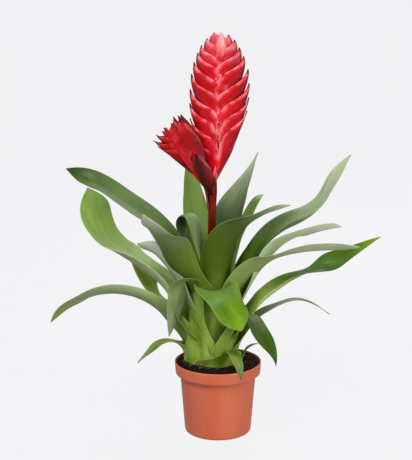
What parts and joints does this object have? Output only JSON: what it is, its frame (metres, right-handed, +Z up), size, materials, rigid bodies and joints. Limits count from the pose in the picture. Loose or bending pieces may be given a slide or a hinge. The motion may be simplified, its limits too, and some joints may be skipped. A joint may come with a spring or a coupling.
{
  "type": "potted bromeliad",
  "caption": "Potted bromeliad: arching strap leaves in a rosette round an upright red flower spike with a small side spike, in a round plastic nursery pot.",
  "frame": {"origin": "centre of the underside of the pot", "axes": "+Z up, along the pot's axis towards the tip of the flower spike; -Y is the front, the side the side spike and folded leaf face"},
  "size_m": [0.4471, 0.3091, 0.5473],
  "materials": {
    "pot": "satin",
    "soil": "rough",
    "crown": "rough",
    "leaf": "satin",
    "flower_stalk": "satin",
    "stalk_bract": "satin",
    "side_spike": "satin",
    "spike_bract": "satin"
  },
  "bodies": {
    "root": {"bract_left_01": "spike_bract", "bract_left_02": "spike_bract", "bract_left_03": "spike_bract", "bract_left_04": "spike_bract", "bract_left_05": "spike_bract", "bract_left_06": "spike_bract", "bract_left_07": "spike_bract", "bract_left_08": "spike_bract", "bract_left_09": "spike_bract", "bract_left_10": "spike_bract", "bract_right_01": "spike_bract", "bract_right_02": "spike_bract", "bract_right_03": "spike_bract", "bract_right_04": "spike_bract", "bract_right_05": "spike_bract", "bract_right_06": "spike_bract", "bract_right_07": "spike_bract", "bract_right_08": "spike_bract", "bract_right_09": "spike_bract", "bract_right_10": "spike_bract", "crown": "crown", "flower_stalk": "flower_stalk", "leaf_01": "leaf", "leaf_02": "leaf", "leaf_03": "leaf", "leaf_04": "leaf", "leaf_05": "leaf", "leaf_06": "leaf", "leaf_07": "leaf", "leaf_08": "leaf", "leaf_09": "leaf", "leaf_10": "leaf", "leaf_11": "leaf", "leaf_12": "leaf", "leaf_13": "leaf", "leaf_14": "leaf", "leaf_15": "leaf", "leaf_16": "leaf", "leaf_17": "leaf", "leaf_18": "leaf", "leaf_19": "leaf", "leaf_20": "leaf", "leaf_21": "leaf", "leaf_22": "leaf", "leaf_23": "leaf", "leaf_24": "leaf", "leaf_25": "leaf", "leaf_26": "leaf", "pot": "pot", "side_spike": "side_spike", "soil": "soil", "stalk_bract_1": "stalk_bract", "stalk_bract_2": "stalk_bract"}
  },
  "joints": []
}
